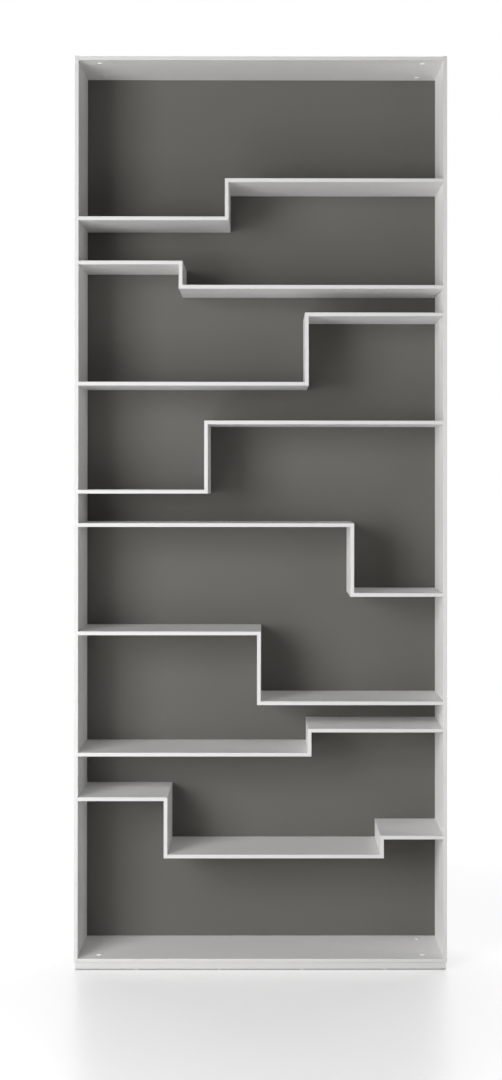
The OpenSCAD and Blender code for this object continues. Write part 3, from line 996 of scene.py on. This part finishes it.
@dataclass
class Feet:
    """The levelling feet: a ribbed pad, a threaded stud and a flanged sleeve at each corner.

    The sole of a pad is hollow out to the shares sole_hollow of its radius, and its crown is given by shares of its
    radius and height, from the rim to the stud. The collar of a stud narrows between two heights above the pad, its
    tip is chamfered by a width and a height, and thread_ends is how far the thread stays from the pad and the tip.
    """

    packed: PackedNodes
    steps: int = 48
    rib_count: int = 36
    rib_radius: float = 0.0006
    rib_length_share: float = 0.42
    rib_height_share: float = 0.26
    sole_hollow: Pair = (0.72, 0.78)
    sole_rise: float = 0.0003
    sole_edge: float = 0.0004
    pad_bore: float = 0.00305
    bore_gap: float = 0.0001
    crown: Profile = ((1.0, 0.5), (0.94, 0.66), (0.62, 0.8), (0.46, 1.0))
    pitch: float = 0.00125
    ridge: float = 0.00062
    spigot: float = 0.003
    collar: Pair = (0.0012, 0.0016)
    tip: Pair = (0.0005, 0.0006)
    socket: float = 0.0022
    socket_depth: float = 0.004
    thread_ends: Pair = (0.0022, 0.0012)

    def build(self) -> None:
        """Builds and dresses the pads, the studs and the sleeves."""
        ribs, winding = ribs_round_a_rim(), wound_thread()
        for corner in Corner:
            self.pad(corner, ribs)
            self.stud(corner, winding)
        SLEEVE_ZINC.dress(self.packed.nodes["foot_sleeves"])
        LOG.info("foot_sleeves keeps its packed shape")

    def pad(self, corner: Corner, ribs: Tree) -> None:
        """Builds one pad with grip ribs round its rim.

        Args:
            corner: Which foot it belongs to.
            ribs: The tree that makes the ribs.
        """
        node = f"foot_pad_{corner.value}"
        low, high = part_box(node)
        height = high.z - low.z
        body = (high.x - low.x) / 2 - self.rib_radius
        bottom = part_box(f"foot_stud_{corner.value}")[0].z - self.bore_gap
        flat, foot = (body * share for share in self.sole_hollow)
        profile = [(0.0, self.sole_rise), (flat, self.sole_rise), (foot, 0.0)]
        profile += [(body - self.sole_edge, 0.0), (body, self.sole_edge)]
        profile += [(body * across, height * up) for across, up in self.crown]
        profile += [(self.pad_bore, height), (self.pad_bore, bottom), (0.0, bottom)]
        sizes = {
            "Count": self.rib_count,
            "Rim Radius": body,
            "Rib Radius": self.rib_radius,
            "Rib Length": height * self.rib_length_share,
            "Height": (0.0, 0.0, height * self.rib_height_share),
            "Finish": PAD_PLASTIC.material(),
        }
        piece = grown(ribs, lathe(f"{node}_turned", profile, self.steps), f"ribbed_{node}", sizes)
        self.packed.settle(piece, node, PAD_PLASTIC, "foot_pads")

    def stud(self, corner: Corner, winding: Tree) -> None:
        """Builds one stud with its wound thread and the socket in its top.

        Args:
            corner: Which foot it belongs to.
            winding: The tree that makes the thread.
        """
        node = f"foot_stud_{corner.value}"
        low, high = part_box(node)
        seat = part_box(f"foot_pad_{corner.value}")[1].z
        outer = (high.x - low.x) / 2
        core = outer - self.ridge
        bottom = high.z - self.socket_depth
        tip_in, tip_down = self.tip
        profile = [(0.0, low.z), (self.spigot, low.z), (self.spigot, seat), (outer, seat)]
        profile += [(outer, seat + self.collar[0]), (core, seat + self.collar[1])]
        profile += [(core, high.z - tip_down), (core - tip_in, high.z)]
        profile += [(self.socket, high.z), (self.socket, bottom), (0.0, bottom - tip_down)]
        start = seat + self.thread_ends[0]
        sizes = {
            "Core Radius": core,
            "Pitch": self.pitch,
            "Length": high.z - self.thread_ends[1] - start,
            "Start": (0.0, 0.0, start),
            "Ridge": self.ridge,
            "Finish": STUD_ZINC.material(),
        }
        piece = grown(winding, lathe(f"{node}_turned", profile, self.steps), f"threaded_{node}", sizes)
        self.packed.settle(piece, node, STUD_ZINC, "studs")


@dataclass
class Fastenings:
    """The screws of the back panel, the plinth and the wall brackets, and the brackets themselves.

    A head is twice as wide as its shank. The other sizes of a screw and its cross recess are shares of the shank's
    radius. A pan head's rim is rounded over the second share of its width and of its height.
    """

    packed: PackedNodes
    steps: int = 24
    turn_seed: int = 11
    head_edge: float = 0.12
    point: float = 0.25
    pan_turn_seed: int = 3
    pan_point: float = 0.4
    pan_width: Pair = (0.72, 0.28)
    pan_height: Pair = (0.25, 0.65)
    cross_reach: float = 1.15
    cross_half: float = 0.26
    cross_depth: float = 1.2
    cross_taper: float = 0.45

    def build(self) -> None:
        """Builds and dresses the screws and the brackets."""
        self.screws("back_panel_screws", (math.radians(90.0), 0.0, 0.0), Axis.Y, True)
        self.screws("plinth_screws", (0.0, 0.0, 0.0), Axis.Z, False)
        self.bracket_screws()
        for node in self.packed.named("wall_bracket_"):
            self.bracket(node)

    def model(self, name: str, shank: float, length: float) -> Object:
        """Makes a countersunk screw with a cross recess, its head's face at the origin, pointing along +Z.

        Args:
            name: The piece's name.
            shank: Radius of the shank.
            length: Length of the screw.

        Returns:
            The screw.
        """
        head, edge = 2 * shank, shank * self.head_edge
        profile = [(0.0, 0.0), (head - edge, 0.0), (head, edge), (shank, shank), (shank, length - 2 * shank)]
        profile += [(shank * self.point, length), (0.0, length)]
        return self.recessed(lathe(name, profile, self.steps), shank, Matrix.Identity(4))

    def recessed(self, screw: Object, shank: float, head: Matrix) -> Object:
        """Cuts the cross recess into a screw's head.

        Args:
            screw: The screw, which is replaced.
            shank: Radius of the shank, which sets the size of the cross.
            head: Place of the head's face, with the screw along its +Z.

        Returns:
            The screw with its recess.
        """
        cutter = self.cross(f"{screw.name}_cross", shank)
        cutter.data.transform(head)
        cut = screw.modifiers.new("cross", "BOOLEAN")
        cut.operation = "DIFFERENCE"
        cut.solver = "EXACT"
        cut.object = cutter
        done = baked(screw, screw.name)
        bpy.data.objects.remove(cutter)
        return done

    def cross(self, name: str, shank: float) -> Object:
        """Makes the tapered cross that a screwdriver leaves, from below the origin up to its depth.

        Args:
            name: The piece's name.
            shank: Radius of the screw's shank.

        Returns:
            The cross.
        """
        reach, half, depth = (shank * s for s in (self.cross_reach, self.cross_half, self.cross_depth))
        outline = [(reach, -half), (reach, half), (half, half), (half, reach), (-half, reach), (-half, half)]
        outline += [(-x, -y) for x, y in outline]
        work = bmesh.new()
        mouth = [work.verts.new((x, y, -depth / 4)) for x, y in outline]
        end = [work.verts.new((x * self.cross_taper, y * self.cross_taper, depth)) for x, y in outline]
        work.faces.new(mouth)
        work.faces.new(end)
        for i in range(len(outline)):
            j = (i + 1) % len(outline)
            work.faces.new((mouth[i], mouth[j], end[j], end[i]))
        bmesh.ops.recalc_face_normals(work, faces=work.faces)
        return formed(name, work)

    def screws(self, node: str, tilt: Triple, axis: Axis, from_high: bool) -> None:
        """Repeats a screw at each solid of a node.

        Args:
            node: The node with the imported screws.
            tilt: Rotation that turns a screw from +Z to its own direction.
            axis: The axis that the screws lie along.
            from_high: Whether their heads lie at the high end of that axis.
        """
        boxes = self.packed.islands(node)
        places = []
        for low, high in boxes:
            middle = (low + high) / 2
            middle[axis] = high[axis] if from_high else low[axis]
            places.append(middle)
        low, high = boxes[0]
        shank = (high.x - low.x) / 4
        part = self.model(f"{node}_to_repeat", shank, high[axis] - low[axis])
        driven = repeated(part, places, f"driven_{node}", SCREW_ZINC, self.turn_seed, tilt)
        self.packed.hand_over(driven, [node], "screws")

    def bracket_screws(self) -> None:
        """Repeats the pan-head screws of the wall brackets."""
        boxes = self.packed.islands("bracket_screws")
        low, high = boxes[0]
        head = (high.x - low.x) / 2
        head_height = shank = head / 2
        length = high.z - low.z
        seat = length - head_height
        profile = [(0.0, 0.0), (shank * self.pan_point, 0.0), (shank, shank), (shank, seat), (head, seat)]
        for turn in QUARTER_TURN:
            width = self.pan_width[0] + self.pan_width[1] * math.cos(turn)
            height = self.pan_height[0] + self.pan_height[1] * math.sin(turn)
            profile.append((head * width, seat + head_height * height))
        profile.append((0.0, length))
        top = Matrix.Translation((0.0, 0.0, length)) @ Matrix.Rotation(math.pi, 4, "X")
        part = self.recessed(lathe("pan_screw_to_repeat", profile, self.steps), shank, top)
        places = [Vector(((a.x + b.x) / 2, (a.y + b.y) / 2, a.z)) for a, b in boxes]
        driven = repeated(part, places, "driven_bracket_screws", SCREW_ZINC, self.pan_turn_seed)
        self.packed.hand_over(driven, ["bracket_screws"], "screws")

    def bracket(self, node: str) -> None:
        """Builds one wall bracket, eased along its long outer edges.

        Args:
            node: The bracket's node.
        """
        low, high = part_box(node)
        straight = [(x, axis) for x in (low.x, high.x) for axis in (Axis.Y, Axis.Z)]

        def ease(a: Vector, b: Vector) -> float:
            """Eases the straight edges of the two cut flanks."""
            met = any(both_at(a, b, Axis.X, x) and runs_along(a, b, axis) for x, axis in straight)
            return BoardEaser.FULL if met else BoardEaser.SHARP

        easer = BoardEaser(self.packed, radius=0.0003, segments=2)
        easer.replace(node, BRACKET_ZINC, "brackets", ease, made="folded")


@dataclass(frozen=True)
class Softbox:
    """A white area lamp that faces a point."""

    name: str
    place: Triple
    aim: Triple
    width: float
    height: float
    watts: float

    def build(self) -> None:
        """Makes the lamp."""
        lamp = bpy.data.lights.new(self.name, "AREA")
        lamp.shape = "RECTANGLE"
        lamp.size = self.width
        lamp.size_y = self.height
        lamp.energy = self.watts
        holder = bpy.data.objects.new(self.name, lamp)
        bpy.context.scene.collection.objects.link(holder)
        holder.location = self.place
        way = Vector(self.aim) - Vector(self.place)
        holder.rotation_euler = way.to_track_quat("-Z", "Y").to_euler()


@dataclass
class Studio:
    """The pale floor, the white background, the soft lamps and the camera."""

    image_width: int = 502
    image_height: int = 1080
    focal_px: float = 2047.7
    centre_px: Pair = (276.94, 466.63)
    camera_place: Triple = (0.0192, -5.0766, 1.1844)
    camera_turn: Triple = (90.346, -0.0365, -0.2274)
    sensor: float = 36.0
    floor_half: float = 6.0
    floor_reflection: float = 0.185
    floor_roughness: float = 0.3
    floor_glow: float = 0.67
    floor_tone: float = 0.3
    floor_bounce: float = 0.39
    floor_fade: Pair = (0.9, 1.9)
    # How far the painted contact shadow reaches.
    contact_reach: float = 0.0035
    lamps: tuple[Softbox, ...] = (
        Softbox("key_left", (-1.8, -3.12, 1.5), (0.0, 0.0, 1.5), 1.5, 1.6, 103.0),
        Softbox("low_left", (-0.825, -2.25, 0.5), (-0.825, 0.0, 0.5), 0.75, 0.8, 15.6),
        Softbox("side_left", (-3.42, -1.11, 1.15), (0.0, 0.0, 1.15), 0.75, 2.2, 4.0),
        Softbox("fill_right", (1.6, -2.4, 1.1), (0.2, 0.0, 1.1), 1.2, 2.2, 14.2),
        Softbox("rear_left", (-1.6, 2.8, 3.9), (-1.6, 0.0, 1.3), 3.2, 1.6, 115.0),
        Softbox("rear_right", (1.6, 2.8, 3.9), (1.6, 0.0, 1.3), 3.2, 1.6, 122.0),
    )

    def build(self) -> None:
        """Builds the whole studio."""
        self.floor()
        self.world()
        for lamp in self.lamps:
            lamp.build()
        self.camera()
        bpy.context.scene.view_settings.view_transform = "Standard"

    def camera(self) -> None:
        """Sets the camera at the photograph's viewing angle."""
        data = bpy.data.cameras.new("camera")
        data.sensor_width = self.sensor
        data.sensor_fit = "AUTO"
        longest = max(self.image_width, self.image_height)
        data.lens = self.focal_px / longest * self.sensor
        data.shift_x = (self.image_width / 2 - self.centre_px[0]) / longest
        data.shift_y = (self.centre_px[1] - self.image_height / 2) / longest
        data.clip_end = 100.0
        eye = bpy.data.objects.new("camera", data)
        bpy.context.scene.collection.objects.link(eye)
        eye.location = self.camera_place
        eye.rotation_euler = Euler([math.radians(a) for a in self.camera_turn], "XYZ")
        bpy.context.scene.camera = eye

    def floor(self) -> None:
        """Lays the floor: white, with the bookcase's soft shadow, a painted contact shadow at its foot and its
        blurred reflection near it.
        """
        work = bmesh.new()
        bmesh.ops.create_grid(work, x_segments=24, y_segments=24, size=self.floor_half)
        plane = formed("floor", work)
        paint = bpy.data.materials.new("floor_paint")
        paint.use_nodes = True
        graph = Graph(paint.node_tree)
        lit = paint.node_tree.nodes["Principled BSDF"]
        lit.inputs["Base Color"].default_value = grey(self.floor_bounce)
        lit.inputs["Roughness"].default_value = 0.8
        shaded = graph.add("ShaderNodeBsdfDiffuse", {"Color": grey(self.floor_tone)})[0]
        # Painted contact shadow: ambient occlusion darkens the floor's glow where the bookcase stands on it.
        painted_contact_shade = graph.add("ShaderNodeAmbientOcclusion", {"Distance": self.contact_reach})["AO"]
        glow_with_contact_shade = graph.math("MULTIPLY", painted_contact_shade, self.floor_glow)
        glow = graph.add("ShaderNodeEmission", {"Color": WHITE, "Strength": glow_with_contact_shade})[0]
        near = graph.add("ShaderNodeAddShader", {0: shaded, 1: glow})[0]
        distance = graph.add("ShaderNodeVectorMath", {0: graph.place()}, operation="LENGTH")["Value"]
        away = graph.ramp(distance, *self.floor_fade)
        far = graph.add("ShaderNodeEmission", {"Color": WHITE, "Strength": 1.0})[0]
        ground = graph.add("ShaderNodeMixShader", {0: away, 1: near, 2: far})[0]
        sheen = graph.add("ShaderNodeBsdfAnisotropic", {"Color": WHITE, "Roughness": self.floor_roughness})[0]
        shown = graph.add("ShaderNodeMixShader", {0: self.floor_reflection, 1: ground, 2: sheen})[0]
        blend = graph.add("ShaderNodeMixShader", {0: graph.showing(), 1: lit.outputs[0], 2: shown})[0]
        graph.link(blend, paint.node_tree.nodes["Material Output"].inputs["Surface"])
        plane.data.materials.append(paint)

    def world(self) -> None:
        """Makes the surroundings white where they are seen, and dark where they would light the bookcase."""
        world = bpy.data.worlds.new("studio")
        bpy.context.scene.world = world
        world.use_nodes = True
        graph = Graph(world.node_tree)
        shade = world.node_tree.nodes["Background"]
        shade.inputs["Color"].default_value = WHITE
        graph.link(graph.showing(), shade.inputs["Strength"])


def main() -> None:
    """Builds the studio and every sub-assembly."""
    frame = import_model()
    Studio().build()
    packed = PackedNodes.from_frame(frame)
    easer = BoardEaser(packed)
    Carcass(easer).build()
    SteppedShelves(easer).build()
    Caps(packed).build()
    Feet(packed).build()
    Fastenings(packed).build()


if __name__ == "__main__":
    logging.basicConfig(level=logging.INFO, format="%(name)s: %(message)s")
    main()
